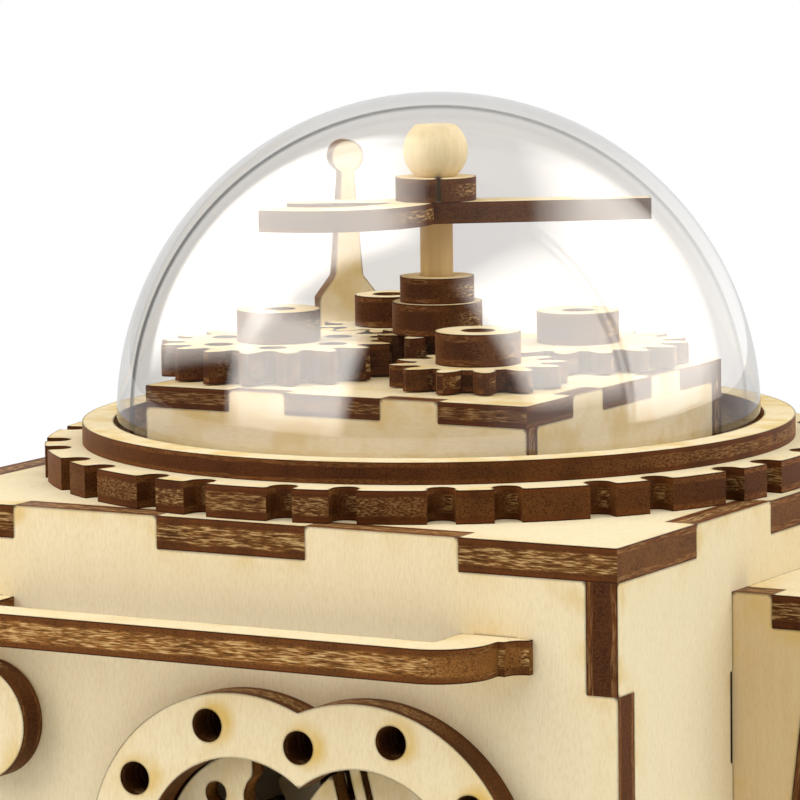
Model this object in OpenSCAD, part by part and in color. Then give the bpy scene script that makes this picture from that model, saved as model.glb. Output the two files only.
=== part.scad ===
// Hand-cranked plywood music box: a finger-jointed case with a goggle front, two side boxes,
// and a clear dome on a cog ring that covers a small gear train and a turning fan.
// Front is -Y, the crank is at the rear (+Y), and z = 0 is the table.

/* [Case] */
// Outer width and depth of the square case
case_w = 76.2; // [72:0.2:84]
// Height from the table to the top of the roof
case_h = 62; // [60:0.5:76]
// Thickness of the thick plywood sheet
ply = 3; // [2.6:0.1:3.4]
// Thickness of the thin plywood sheet
thin_ply = 2; // [1.6:0.1:2.4]
// Length of the first finger below the roof on each upright edge
edge_finger = 9.75; // [8:0.25:11]

/* [Brow and goggles] */
// Depth of the brow bar's top face below the roof
brow_drop = 8.35; // [7:0.05:9]
// How far the brow bar's front edge stands out from the front panel
brow_reach = 8.3; // [7:0.1:10]
// Width of the brow bar, front to back
brow_bar_w = 3.7; // [3:0.1:4.2]
// Half of the brow bar's length over its two legs
brow_half = 27.8; // [26:0.1:29]
// Width of each leg of the brow bar
brow_leg_w = 4.8; // [4.2:0.1:5.4]
// How far each leg's foot spreads outwards on the front panel
brow_foot = 2.2; // [1.6:0.1:3]
// Width of the tenon that holds each leg in the front panel
brow_tenon_w = 4.4; // [3.6:0.1:5]
// Sideways distance of the goggles from the middle of the front panel
goggle_side = 8.4; // [7:0.1:10]
// Depth of the goggles' centre line below the roof
goggle_drop = 30.3; // [30:0.1:32]
// Outer radius of each goggle lobe
goggle_r = 15.6; // [15:0.1:17]
// Half of the distance between the centres of the two lobes
goggle_half = 6.2; // [5.8:0.1:6.6]
// Radius of each goggle window
window_r = 9.8; // [9.6:0.1:11]
// Diameter of the small holes round the goggles
goggle_hole_d = 3; // [2.4:0.1:3.4]
// Radius of each lobe's ring of small holes
goggle_hole_ring = 12.85; // [12.6:0.05:13.6]
// Angle from one of these holes to the next
goggle_hole_step = 42.7; // [38:0.1:44]
// Radius of the two turning eye plates
eye_r = 9.8; // [9.2:0.1:10]
// Clearance round the eye plates in the front panel
eye_clear = 0.6; // [0.4:0.05:0.8]

/* [Selector knob] */
// Sideways distance of the knob from the middle of the front panel
knob_side = 25.5; // [24:0.1:26.5]
// Depth of the knob's centre below the roof
knob_drop = 19.5; // [18:0.1:21]
// Radius of the knob
knob_r = 5.45; // [4.5:0.05:6.5]
// Length of the brake arm on the knob's shaft
brake_l = 19.5; // [17:0.1:19.8]

/* [Ears] */
// Depth of the ears' top below the roof
ear_drop = 7; // [6:0.1:9]
// Length of each ear, front to back
ear_depth = 31.6; // [28:0.1:36]
// Inside width of each ear at its top
ear_w = 7.95; // [7:0.05:9]
// Height of each ear
ear_h = 34; // [30:0.5:38]
// Lean of the ear's outer plate in degrees
ear_lean = 6.9; // [5:0.1:8]
// Width of the finger that shows beside the wall in each ear's top
ear_finger = 3.9; // [3:0.1:5]
// Length of the tabs that hold each ear in its side panel
ear_tab_l = 8.2; // [6:0.1:10]
// Depth of those tabs below the ear's top
ear_tab_drop = 7.15; // [6:0.05:9]
// Gap that each tab's slot leaves on the ear's outer side
ear_slot_gap = 0.35; // [0.2:0.05:0.5]

/* [Dome] */
// How far the cog ring stands out from the plain ring on it
ring_w = 3.55; // [3:0.05:4]
// Number of wide teeth, each followed by a narrow one
ring_pairs = 16; // [14:1:17]
// Width of the rounded notches between the teeth
notch_w = 2.5; // [2.2:0.1:2.7]
// Depth of the notches
notch_deep = 2.35; // [2:0.05:2.8]
// Share of each tooth pair taken by the step from a wide tooth's middle to its notch
notch_step = 0.298; // [0.28:0.002:0.32]
// How far the plain ring on the cog ring stands out from the dome
flange_w = 3.25; // [2.6:0.05:4]
// Outer radius of the dome
dome_r = 30.4; // [30.2:0.1:31]
// Wall of the dome
dome_wall = 1.2; // [1:0.1:1.3]
// Least gap between the dome's inside and the corners of the gear platform
corner_gap = 0.5; // [0.3:0.05:0.8]

/* [Gear platform] */
// Width of the square platform
platform_w = 40; // [38:0.2:40.4]
// Height of the platform's top above the roof
platform_h = 9; // [8:0.1:10]
// Length of the fingers on the platform's walls
platform_finger = 6; // [5:0.1:7]
// Length of the platform top's corner fingers
platform_corner = 9; // [8:0.1:9.5]
// Tooth size of the gears in the dome
dome_module = 1.2; // [1.15:0.01:1.22]
// Direction of the left gear from the middle, in degrees
left_dir = 208; // [206:1:210]
// Direction of the front gear from the middle, in degrees
front_dir = -43; // [-46:1:-43]
// Direction of the right gear from the middle, in degrees
right_dir = 50.5; // [50:0.5:54]
// Direction of the rear gear from the left gear, in degrees
rear_dir = 79.5; // [79:0.5:84]
// Radius of the large collars on the gears
collar_r = 3.95; // [3.4:0.05:4.4]
// Radius of the small collar on the rear gear
small_collar_r = 3.3; // [2.8:0.05:3.8]
// Diameter of the pins that the gears turn on
gear_pin_d = 3; // [2:0.1:3.4]
// Depth of the pins' ends below the tops of the collars
pin_sink = 0.5; // [0.2:0.05:0.8]
// Thickness of the collars
collar_t = 3; // [2.4:0.1:3.4]

/* [Fan] */
// Diameter of the fan's upright dowel
rotor_d = 3.1; // [2.6:0.1:3.6]
// Height of the middle pinion
pinion_t = 3.6; // [3.4:0.1:4.6]
// Radius of the lower collar on the dowel
lower_collar_r = 4.25; // [4:0.05:4.6]
// Radius of the upper collar on the dowel
upper_collar_r = 3.5; // [3:0.05:4]
// Thickness of the upper collar
upper_collar_t = 2.4; // [2:0.1:3]
// Height of the fan's underside above the platform
fan_lift = 14.3; // [13.6:0.1:15]
// Reach of the fan's longest arm
fan_reach = 20.2; // [18:0.1:20.4]
// Reach of the fan's short arm
fan_short = 14; // [12:0.1:16]
// Radius of the fan's curved arm
fan_bend_r = 10.65; // [10:0.05:11]
// Width of the fan's curved arm
fan_arm_w = 3.95; // [3:0.05:4.5]
// Turn of the fan at rest, in degrees
fan_turn = 29.4; // [0:0.1:90]
// Radius of the split clip above the fan
clip_r = 3.8; // [3.2:0.1:4.2]
// Width of the clip's slit
clip_slit = 0.45; // [0.3:0.05:0.8]
// Thickness of the split clip
clip_t = 2.2; // [1.8:0.1:2.6]
// Radius of the bead on top of the dowel
bead_r = 3.05; // [2.6:0.05:3.2]

/* [Finial] */
// Sideways distance of the finial from the middle of the roof
finial_side = 29.5; // [28.5:0.1:30.5]
// Distance of the finial behind the middle of the roof
finial_back = 34; // [33:0.1:34.4]
// Height of the finial above the roof
finial_h = 28; // [26:0.5:30]
// Half width of the finial's foot
finial_half = 3.2; // [2.6:0.1:3.4]
// Radius of the finial's round head
finial_head_r = 1.7; // [1.4:0.1:2.2]

/* [Crank and movement] */
// Diameter of the steel crank shaft
shaft_d = 3; // [2.6:0.1:3.4]
// Distance from the crank shaft to the handle
crank_throw = 20; // [16:0.5:24]
// Diameter of the turned handle
handle_d = 9; // [8:0.1:11]
// Length of the turned handle
handle_l = 16; // [12:0.5:20]
// Radius of the wheel that turns the fan's disc
drive_wheel_r = 8; // [7:0.1:8.6]
// Distance of that wheel behind the fan's axis
drive_wheel_back = 10; // [9:0.1:11]
// Radius of the disc under the fan
friction_disc_r = 13; // [12.6:0.1:14]
// Tooth size of the gears inside the case
case_module = 1; // [0.96:0.01:1.02]
// Radius of the pinned cylinder
cylinder_r = 7; // [6:0.1:8]
// Length of the pinned cylinder
cylinder_l = 24; // [20:0.5:26]
// Thickness of the comb
comb_t = 1; // [0.8:0.1:1.4]
// Number of teeth on the comb
comb_teeth = 18; // [12:1:20]
// Length of the comb's teeth
comb_tooth_l = 9; // [7:0.5:10]

/* [Fits] */
// Clearance all round a shaft that turns in a hole
running_fit = 0.05; // [0.03:0.01:0.09]
// Clearance all round a pin that is fixed in a hole
seat_fit = 0.02; // [0.01:0.01:0.04]
// Play between meshing teeth
mesh_play = 0.16; // [0.1:0.02:0.24]
// Gap beside a turning piece
side_gap = 0.3; // [0.2:0.05:0.4]

/* [Hidden] */
$fn = 64;
half = case_w/2;
inner = half - ply;
case_seg = case_w/5;
roof_z = case_h - ply;
edge_mid = (case_h - 2*ply - 2*edge_finger)/3;
cream = [0.93, 0.87, 0.72];
tan_ply = [0.86, 0.78, 0.60];
burnt = [0.45, 0.29, 0.14];
bead_cream = [0.92, 0.84, 0.62];
brass = [0.80, 0.66, 0.34];
steel = [0.70, 0.71, 0.73];
clear = [0.85, 0.92, 0.95, 0.30];

// Tooth counts
pinion_teeth = 8;
left_teeth = 17;
front_teeth = 12;
right_teeth = 16;
rear_teeth = 10;
eye_drive_teeth = 8;
eye_teeth = 12;
crank_teeth = 16;
wheel_teeth = 30;

// Shape of every gear tooth, in modules and degrees
tooth_tip = 0.85;
tooth_root = 1.1;
pressure = 28;
flank_steps = 3;

// Rings and room round the dome
flange_r = dome_r + flange_w;
ring_r = flange_r + ring_w;
dome_room = dome_r - dome_wall - corner_gap;

// Heights and centres in the dome
deck_z = case_h + platform_h;
gear_z = deck_z + side_gap/2;
left_at = mesh_dist(pinion_teeth, left_teeth, dome_module)*heading(left_dir);
front_at = mesh_dist(pinion_teeth, front_teeth, dome_module)*heading(front_dir);
right_at = mesh_dist(pinion_teeth, right_teeth, dome_module)*heading(right_dir);
rear_at = left_at + mesh_dist(left_teeth, rear_teeth, dome_module)*heading(rear_dir);
left_phase = mesh_phase(left_dir, pinion_teeth, 0, left_teeth);
front_phase = mesh_phase(front_dir, pinion_teeth, 0, front_teeth);
right_phase = mesh_phase(right_dir, pinion_teeth, 0, right_teeth);
rear_phase = mesh_phase(rear_dir, left_teeth, left_phase, rear_teeth);
pinion_top = gear_z + pinion_t;
fan_z = deck_z + fan_lift;
clip_z = fan_z + thin_ply;
bead_z = clip_z + clip_t;
bead_cut = 0.8*bead_r;

// Centres in the case, seen from the front
eye_z = case_h - goggle_drop;
eye_gap = mesh_dist(eye_teeth, eye_teeth, case_module);
left_eye_x = goggle_side - eye_gap/2;
right_eye_x = goggle_side + eye_gap/2;
eye_reach = mesh_dist(eye_drive_teeth, eye_teeth, case_module);
crank_z = eye_z + sqrt(eye_reach*eye_reach - left_eye_x*left_eye_x);
eye_dir = atan2(eye_z - crank_z, left_eye_x);
eye_phase = mesh_phase(eye_dir, eye_drive_teeth, 0, eye_teeth);
right_eye_phase = mesh_phase(0, eye_teeth, eye_phase, eye_teeth);
cylinder_dir = 222;
cylinder_at = [0, crank_z] + mesh_dist(crank_teeth, wheel_teeth, case_module)*heading(cylinder_dir);
wheel_phase = mesh_phase(cylinder_dir, crank_teeth, 0, wheel_teeth);
knob_z = case_h - knob_drop;

// Planes along the depth of the case
wall_back = inner;
frame_y = -24;
eye_gear_y = frame_y - side_gap - ply;
left_eye_y = -half + side_gap;
right_eye_y = left_eye_y + thin_ply + side_gap;
wheel_y = 26;
wheel_t = 4;
arm_y = half + side_gap;
handle_y = arm_y + ply + side_gap;
cheek_t = 2.5;
cheek_y = cylinder_l/2 + side_gap;
bed_t = 2;
bed_z = ply + bed_t;
cheek_half = 5;
cheek_cap = 5;
pin_r = 0.3;
pin_l = 0.45;
comb_gap = 0.15;
comb_tip_x = cylinder_at[0] + cylinder_r + pin_l + comb_gap;
comb_z = cylinder_at[1] - comb_t/2;
comb_w = cylinder_l - 2;
comb_back = 8;
comb_end_x = comb_tip_x + comb_tooth_l + comb_back;
comb_slot = 0.35;
bed_left = cylinder_at[0] - cheek_half - 4.5;
bed_right = comb_end_x + 4;
bed_half = cheek_y + cheek_t + 1;
screw_r = 1;
screw_l = 2.6;
screw_head_r = 1.8;
screw_head_t = 1.2;
screw_inset = 2.4;
disc_z = crank_z + drive_wheel_r + side_gap/2;

// Ear lines
ear_top = case_h - ear_drop;
ear_bot = ear_top - ear_h;
ear_front = -ear_depth/2;
ear_skin = ply/cos(ear_lean);

// Brow lines
brow_z = case_h - brow_drop - ply;
brow_front = -half - brow_reach;
brow_in = brow_half - brow_leg_w;
brow_round = brow_reach*0.6;
brow_foot_t = 2.2;
tenon_x = brow_in + brow_leg_w/2 + 1;

function heading(a) = [cos(a), sin(a)];
function mesh_dist(a, b, m) = (a + b)*m/2;

// Turn of gear b so that it meshes with gear a, which lies back along direction d
function mesh_phase(d, a, phase_a, b) = d + 180 - (0.5 - (d - phase_a)*a/360)*360/b;

// Involute of a gear tooth's flank
function roll(r, base) = sqrt(max(0, pow(r/base, 2) - 1));
function involute(r, base) = roll(r, base)*180/PI - atan(roll(r, base));
function base_r(n, m) = n*m/2*cos(pressure);
function root_r(n, m) = n*m/2 - tooth_root*m;
function tip_r(n, m) = n*m/2 + tooth_tip*m;
function flank_r(n, m) = max(base_r(n, m), root_r(n, m));
function flank_deg(n, m, r) =
    90/n - mesh_play*90/(PI*n*m) + involute(n*m/2, base_r(n, m)) - involute(r, base_r(n, m));
function flank_at(n, m, i) =
    let (r = flank_r(n, m) + (tip_r(n, m) - flank_r(n, m))*i/flank_steps) [r, flank_deg(n, m, r)];
function foot_at(n, m) =
    root_r(n, m) < base_r(n, m) ? [[root_r(n, m), flank_deg(n, m, base_r(n, m))]] : [];
function half_tooth(n, m) = concat(foot_at(n, m), [for (i = [0:flank_steps]) flank_at(n, m, i)]);
function tooth(n, m) =
    let (h = half_tooth(n, m), last = len(h) - 1)
    concat([for (p = h) [p[0], -p[1]]], [for (i = [0:last]) h[last - i]]);
function gear_points(n, m) =
    [for (k = [0:n - 1], p = tooth(n, m)) p[0]*heading(360*k/n + p[1])];

// Place and length of one finger of an upright edge, counted down from the roof
function finger_start(k) = k == 0 ? 0 : edge_finger + (k - 1)*edge_mid;
function finger_len(k) = k == 0 || k == 4 ? edge_finger : edge_mid;

function ear_inside(z) = half + ear_w - (ear_top - z)*tan(ear_lean);

// Plates cut from a drawing: standing across, standing fore and aft, or lying flat
module across(y, t) {
    translate([0, y + t, 0]) rotate([90, 0, 0]) linear_extrude(t) children();
}

module fore_aft(x, t) {
    translate([x, 0, 0]) rotate([90, 0, 90]) linear_extrude(t) children();
}

module flat(z, t) {
    translate([0, 0, z]) linear_extrude(t) children();
}

module gear(n, m, phase, bore) {
    difference() {
        rotate(phase) polygon(gear_points(n, m));
        circle(bore);
    }
}

module washer(r, bore) {
    difference() {
        circle(r);
        circle(bore);
    }
}

module sector(r, from, to) {
    steps = 6;
    polygon(concat([[0, 0]], [for (i = [0:steps]) r*heading(from + (to - from)*i/steps)]));
}

// Case panels
module panel_body() {
    translate([-inner, ply]) square([2*inner, case_h - 2*ply]);
    for (k = [1, 3], z = [0, roof_z]) translate([-half + k*case_seg, z]) square([case_seg, ply]);
}

module edge_fingers(picks) {
    for (k = picks, x = [-half, inner])
        translate([x, roof_z - finger_start(k) - finger_len(k)]) square([ply, finger_len(k)]);
}

module lid_outline() {
    difference() {
        square(case_w, center = true);
        for (a = [0, 90, 180, 270], k = [1, 3])
            rotate(a) translate([-half + k*case_seg, -half]) square([case_seg, ply]);
    }
}

module front_panel() {
    color(cream) across(-half, ply) difference() {
        union() {
            panel_body();
            edge_fingers([1, 3]);
        }
        for (x = [left_eye_x, right_eye_x]) translate([x, eye_z]) circle(eye_r + eye_clear);
        goggle_holes();
        for (s = [-1, 1]) translate([s*tenon_x - brow_tenon_w/2, brow_z]) square([brow_tenon_w, ply]);
        translate([-knob_side, knob_z]) circle(shaft_d/2 + running_fit);
    }
}

module rear_panel() {
    color(cream) across(inner, ply) difference() {
        union() {
            panel_body();
            edge_fingers([1, 3]);
        }
        translate([0, crank_z]) circle(shaft_d/2 + running_fit);
    }
}

module side_outline() {
    difference() {
        union() {
            panel_body();
            edge_fingers([0, 2, 4]);
        }
        for (y = [ear_front - ear_slot_gap, -ear_front - ply])
            translate([y, ear_top - ear_tab_drop - ear_tab_l]) square([ply + ear_slot_gap, ear_tab_l]);
    }
}

module left_panel() {
    color(cream) fore_aft(-half, ply) side_outline();
}

module right_panel() {
    color(cream) fore_aft(inner, ply) side_outline();
}

module roof_plate() {
    color(cream) flat(roof_z, ply) difference() {
        lid_outline();
        circle(rotor_d/2 + running_fit);
        translate([-finial_side, finial_back]) rotate(45) square([2*finial_tab, thin_ply], center = true);
    }
}

module floor_plate() {
    color(cream) difference() {
        flat(0, ply) lid_outline();
        for (p = bed_screw_at) translate([p[0], p[1], bed_z - screw_l - seat_fit])
            cylinder(r = screw_r + seat_fit, h = screw_l);
    }
}

module inner_frame() {
    color(cream) across(frame_y, ply) difference() {
        translate([-inner, ply]) square([2*inner, case_h - 2*ply]);
        translate([0, crank_z]) circle(shaft_d/2 + running_fit);
        for (x = [left_eye_x, right_eye_x]) translate([x, eye_z]) circle(shaft_d/2 + running_fit);
        translate([-knob_side, knob_z]) circle(shaft_d/2 + running_fit);
    }
}

// Front fittings
module brow_outline() {
    corner_y = brow_front + brow_round;
    difference() {
        union() {
            translate([-brow_half, corner_y]) square([2*brow_half, -half - corner_y]);
            translate([brow_round - brow_half, brow_front])
                square([2*(brow_half - brow_round), brow_round]);
            for (s = [-1, 1]) translate([s*(brow_half - brow_round), corner_y]) circle(brow_round);
            for (s = [-1, 1]) translate([s*(brow_half + brow_foot/2), -half - brow_foot_t/2])
                square([brow_foot, brow_foot_t], center = true);
        }
        translate([-brow_in, brow_front + brow_bar_w]) square([2*brow_in, brow_reach]);
        for (s = [-1, 1])
            translate([s*(brow_half + brow_foot), -half - brow_foot_t]) circle(brow_foot_t*0.7);
        translate([-2*brow_half, -half]) square([4*brow_half, 2*brow_round]);
    }
    for (s = [-1, 1]) translate([s*tenon_x - brow_tenon_w/2, -half]) square([brow_tenon_w, ply]);
}

module brow_bar() {
    color(burnt) flat(brow_z, ply) brow_outline();
}

module goggle_holes() {
    per_lobe = 5;
    top = acos(-goggle_half/goggle_hole_ring);
    translate([goggle_side, eye_z]) for (s = [0, 1]) mirror([s, 0]) {
        if (s == 0) translate([0, goggle_hole_ring*sin(top)]) circle(goggle_hole_d/2);
        for (k = [1:per_lobe])
            translate([goggle_half, 0] + goggle_hole_ring*heading(top - k*goggle_hole_step)) circle(goggle_hole_d/2);
    }
}

module goggle_frame() {
    color(cream) across(-half - ply, ply) difference() {
        for (s = [-1, 1]) translate([goggle_side + s*goggle_half, eye_z]) circle(goggle_r);
        for (s = [-1, 1]) translate([goggle_side + s*goggle_half, eye_z]) circle(window_r);
        goggle_holes();
    }
}

// Ears, drawn for the right side and mirrored for the left
module ear_top_plate() {
    reach = ear_w + ear_skin;
    color(cream) flat(ear_top - ply, ply) difference() {
        translate([half, ear_front]) square([reach, ear_depth]);
        for (y = [ear_front, -ear_front - ply]) translate([half, y]) square([ear_finger, ply]);
    }
}

module ear_side_plates() {
    color(tan_ply) for (y = [ear_front, -ear_front - ply]) across(y, ply) {
        polygon([
            [half, ear_bot + ply],
            [ear_inside(ear_bot + ply), ear_bot + ply],
            [ear_inside(ear_top - ply), ear_top - ply],
            [half, ear_top - ply]
        ]);
        translate([half, ear_top - ply]) square([ear_finger, ply]);
        translate([inner, ear_top - ear_tab_drop - ear_tab_l]) square([ply, ear_tab_l]);
    }
}

module ear_outer_plate() {
    color(cream) across(ear_front, ear_depth) polygon([
        [ear_inside(ear_bot), ear_bot],
        [ear_inside(ear_bot) + ear_skin, ear_bot],
        [ear_inside(ear_top - ply) + ear_skin, ear_top - ply],
        [ear_inside(ear_top - ply), ear_top - ply]
    ]);
}

module ear_bottom_plate() {
    color(cream) across(ear_front, ear_depth) polygon([
        [half, ear_bot],
        [ear_inside(ear_bot), ear_bot],
        [ear_inside(ear_bot + ply), ear_bot + ply],
        [half, ear_bot + ply]
    ]);
}

module ear_right_top() { ear_top_plate(); }
module ear_right_sides() { ear_side_plates(); }
module ear_right_outer() { ear_outer_plate(); }
module ear_right_bottom() { ear_bottom_plate(); }
module ear_left_top() { mirror([1, 0, 0]) ear_top_plate(); }
module ear_left_sides() { mirror([1, 0, 0]) ear_side_plates(); }
module ear_left_outer() { mirror([1, 0, 0]) ear_outer_plate(); }
module ear_left_bottom() { mirror([1, 0, 0]) ear_bottom_plate(); }

// Dome and its rings
module ring_gear() {
    pair = 360/ring_pairs;
    color(cream) flat(case_h, ply) difference() {
        washer(ring_r, dome_r + side_gap);
        for (k = [0:ring_pairs - 1], s = [-1, 1]) rotate(k*pair + s*notch_step*pair) {
            translate([ring_r - notch_deep + notch_w/2, 0]) circle(notch_w/2);
            translate([ring_r - notch_deep + notch_w/2, -notch_w/2]) square([notch_deep, notch_w]);
        }
    }
}

module flange_ring() {
    color(cream) flat(case_h + ply, thin_ply) washer(flange_r, dome_r + side_gap);
}

module dome() {
    rim = case_h + ply + thin_ply;
    color(clear) {
        translate([0, 0, rim]) difference() {
            sphere(dome_r, $fn = 128);
            sphere(dome_r - dome_wall, $fn = 128);
            translate([-dome_r, -dome_r, -dome_r]) cube([2*dome_r, 2*dome_r, dome_r]);
        }
        flat(case_h, ply + thin_ply) washer(dome_r, dome_r - dome_wall);
    }
}

// Gear platform, with its corners kept inside the dome
module inside_dome() {
    intersection() {
        children();
        translate([0, 0, case_h]) cylinder(r = dome_room, h = platform_h);
    }
}

module platform_top() {
    edge = platform_w/2;
    color(cream) inside_dome() flat(deck_z - thin_ply, thin_ply) difference() {
        square(platform_w, center = true);
        for (a = [0, 90, 180, 270], s = [-1, 1])
            rotate(a) translate([s*platform_tab_x, thin_ply/2 - edge])
                square([platform_finger, thin_ply], center = true);
        circle(rotor_d/2 + running_fit);
        for (p = gear_centres) translate(p) circle(gear_pin_d/2 + seat_fit);
    }
}

module platform_wall(width) {
    translate([-width/2, case_h]) square([width, platform_h - thin_ply]);
    for (s = [-1, 1]) translate([s*platform_tab_x - platform_finger/2, deck_z - thin_ply])
        square([platform_finger, thin_ply]);
}

module platform_long_walls() {
    color(tan_ply) inside_dome() for (y = [-platform_w/2, platform_w/2 - thin_ply])
        across(y, thin_ply) platform_wall(platform_w);
}

module platform_short_walls() {
    color(tan_ply) inside_dome() for (x = [-platform_w/2, platform_w/2 - thin_ply])
        fore_aft(x, thin_ply) platform_wall(platform_w - 2*thin_ply);
}

module gear_pins() {
    color(cream) for (i = [0:3]) translate([gear_centres[i][0], gear_centres[i][1], deck_z - thin_ply])
        cylinder(r = gear_pin_d/2, h = thin_ply + side_gap/2 + gear_sheets[i] + collar_t - pin_sink);
}

// Gears in the dome, each with its collar
module dome_gear(i, teeth, phase) {
    color(burnt) translate(gear_centres[i]) flat(gear_z, gear_sheets[i])
        gear(teeth, dome_module, phase, gear_pin_d/2 + running_fit);
}

module dome_collar(i, r) {
    color(burnt) translate(gear_centres[i]) flat(gear_z + gear_sheets[i], collar_t)
        washer(r, gear_pin_d/2 + running_fit);
}

module left_gear() {
    holes = 6;
    hole_ring = 6.2;
    hole_d = 2.6;
    color(burnt) translate(left_at) flat(gear_z, ply) difference() {
        gear(left_teeth, dome_module, left_phase, gear_pin_d/2 + running_fit);
        for (k = [0:holes - 1]) translate(hole_ring*heading(left_phase + 360*k/holes)) circle(hole_d/2);
    }
}

module front_gear() { dome_gear(1, front_teeth, front_phase); }
module right_gear() { dome_gear(2, right_teeth, right_phase); }
module rear_gear() { dome_gear(3, rear_teeth, rear_phase); }
module left_collar() { dome_collar(0, collar_r); }
module front_collar() { dome_collar(1, collar_r); }
module right_collar() { dome_collar(2, collar_r); }
module rear_collar() { dome_collar(3, small_collar_r); }

// Fan and what turns with it
module rotor_shaft() {
    foot = disc_z - 1;
    color(bead_cream) translate([0, 0, foot]) cylinder(r = rotor_d/2, h = bead_z + bead_r - foot);
}

module friction_disc() {
    color(cream) flat(disc_z, ply) washer(friction_disc_r, rotor_d/2 + seat_fit);
}

module centre_pinion() {
    color(burnt) flat(gear_z, pinion_t) gear(pinion_teeth, dome_module, 0, rotor_d/2 + seat_fit);
}

module lower_collar() {
    color(burnt) flat(pinion_top, collar_t) washer(lower_collar_r, rotor_d/2 + seat_fit);
}

module upper_collar() {
    color(burnt) flat(pinion_top + collar_t, upper_collar_t) washer(upper_collar_r, rotor_d/2 + seat_fit);
}

module fan_outline() {
    hub_r = 3.4;
    tip_half = 1.1;
    bend_at = [-10.5, -0.5];
    circle(hub_r);
    polygon([[0, -hub_r], [fan_reach, -tip_half], [fan_reach, tip_half], [0, hub_r/2]]);
    polygon([[0, -hub_r*0.85], [-fan_short, -2*tip_half], [-fan_short, tip_half], [0, hub_r/2]]);
    translate(bend_at) intersection() {
        washer(fan_bend_r, fan_bend_r - fan_arm_w);
        sector(2*fan_bend_r, -124, -12);
    }
}

module fan() {
    color(burnt) flat(fan_z, thin_ply) rotate(fan_turn) difference() {
        fan_outline();
        circle(rotor_d/2 + seat_fit);
    }
}

module split_clip() {
    color(burnt) flat(clip_z, clip_t) rotate(fan_turn) difference() {
        washer(clip_r, rotor_d/2 + seat_fit);
        translate([0, -clip_r - 1]) square([clip_slit, clip_r + 1]);
    }
}

module bead() {
    color(bead_cream) translate([0, 0, bead_z]) difference() {
        translate([0, 0, bead_cut]) sphere(bead_r);
        translate([-2*bead_r, -2*bead_r, -2*bead_r]) cube([4*bead_r, 4*bead_r, 2*bead_r]);
        translate([-2*bead_r, -2*bead_r, 2*bead_cut]) cube([4*bead_r, 4*bead_r, 2*bead_r]);
        translate([0, 0, -bead_r]) cylinder(r = rotor_d/2 + seat_fit, h = 2*bead_r + seat_fit);
    }
}

// Skittle-shaped finial at the back of the roof
module finial_outline() {
    shoulder = finial_h*0.42;
    waist = finial_h*0.5;
    neck = finial_h - 2*finial_head_r;
    polygon([
        [-finial_half, 0],
        [finial_half, 0],
        [finial_half, shoulder],
        [finial_half*0.47, waist],
        [finial_half*0.22, neck],
        [-finial_half*0.22, neck],
        [-finial_half*0.47, waist],
        [-finial_half, shoulder]
    ]);
    translate([-finial_half*0.22, neck]) square([finial_half*0.44, finial_head_r]);
    translate([0, finial_h - finial_head_r]) circle(finial_head_r);
    translate([-finial_tab, -ply]) square([2*finial_tab, ply]);
}

module finial() {
    color(cream) translate([-finial_side, finial_back, case_h]) rotate(45)
        across(-thin_ply/2, thin_ply) finial_outline();
}

// Crank
module crank_shaft() {
    front = eye_gear_y - side_gap;
    color(steel) translate([0, front, crank_z]) rotate([-90, 0, 0])
        cylinder(r = shaft_d/2, h = arm_y + ply - front);
}

module crank_arm() {
    end_r = 4.5;
    color(cream) across(arm_y, ply) difference() {
        union() {
            for (z = [crank_z, crank_z - crank_throw]) translate([0, z]) circle(end_r);
            translate([-end_r, crank_z - crank_throw]) square([2*end_r, crank_throw]);
        }
        for (z = [crank_z, crank_z - crank_throw]) translate([0, z]) circle(shaft_d/2 + seat_fit);
    }
}

module crank_pin() {
    color(steel) translate([0, arm_y, crank_z - crank_throw]) rotate([-90, 0, 0])
        cylinder(r = shaft_d/2, h = ply + side_gap + handle_l - 3);
}

module crank_handle() {
    r = handle_d/2;
    bore = shaft_d/2 + running_fit;
    depth = handle_l - 3 + side_gap;
    color(bead_cream) translate([0, handle_y, crank_z - crank_throw]) rotate([-90, 0, 0])
        rotate_extrude() difference() {
            union() {
                translate([0, 0]) square([0.75*r, 1.5]);
                translate([0, 1.5]) square([0.86*r, handle_l - r - 1.5]);
                translate([0, handle_l - r]) intersection() {
                    circle(r);
                    translate([0, -r/2]) square([r, 1.5*r]);
                }
            }
            translate([-1, -1]) square([bore + 1, depth + 1]);
        }
}

module crank_gear() {
    color(tan_ply) translate([0, 0, crank_z]) across(wheel_y, wheel_t)
        gear(crank_teeth, case_module, 0, shaft_d/2 + seat_fit);
}

module eye_drive_gear() {
    color(tan_ply) translate([0, 0, crank_z]) across(eye_gear_y, ply)
        gear(eye_drive_teeth, case_module, 0, shaft_d/2 + seat_fit);
}

module drive_wheel() {
    color(tan_ply) translate([0, 0, crank_z]) across(drive_wheel_back - ply/2, ply)
        washer(drive_wheel_r, shaft_d/2 + seat_fit);
}

// Eyes
module left_eye() {
    edge_x = -0.07*eye_r;
    color(cream) translate([left_eye_x, 0, eye_z]) across(left_eye_y, thin_ply) difference() {
        union() {
            intersection() {
                circle(eye_r);
                translate([-2*eye_r, -eye_r]) square([2*eye_r + edge_x, 2*eye_r]);
            }
            circle(0.42*eye_r);
        }
        translate([0.06*eye_r, 0.58*eye_r]) circle(0.225*eye_r);
        translate([-0.46*eye_r, 0.58*eye_r]) circle(0.11*eye_r);
        circle(shaft_d/2 + seat_fit);
    }
}

module eye_slot(x, z, width) {
    slant = 14;
    translate([x, z]) rotate(slant) square([width, 0.6*eye_r], center = true);
}

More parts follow.
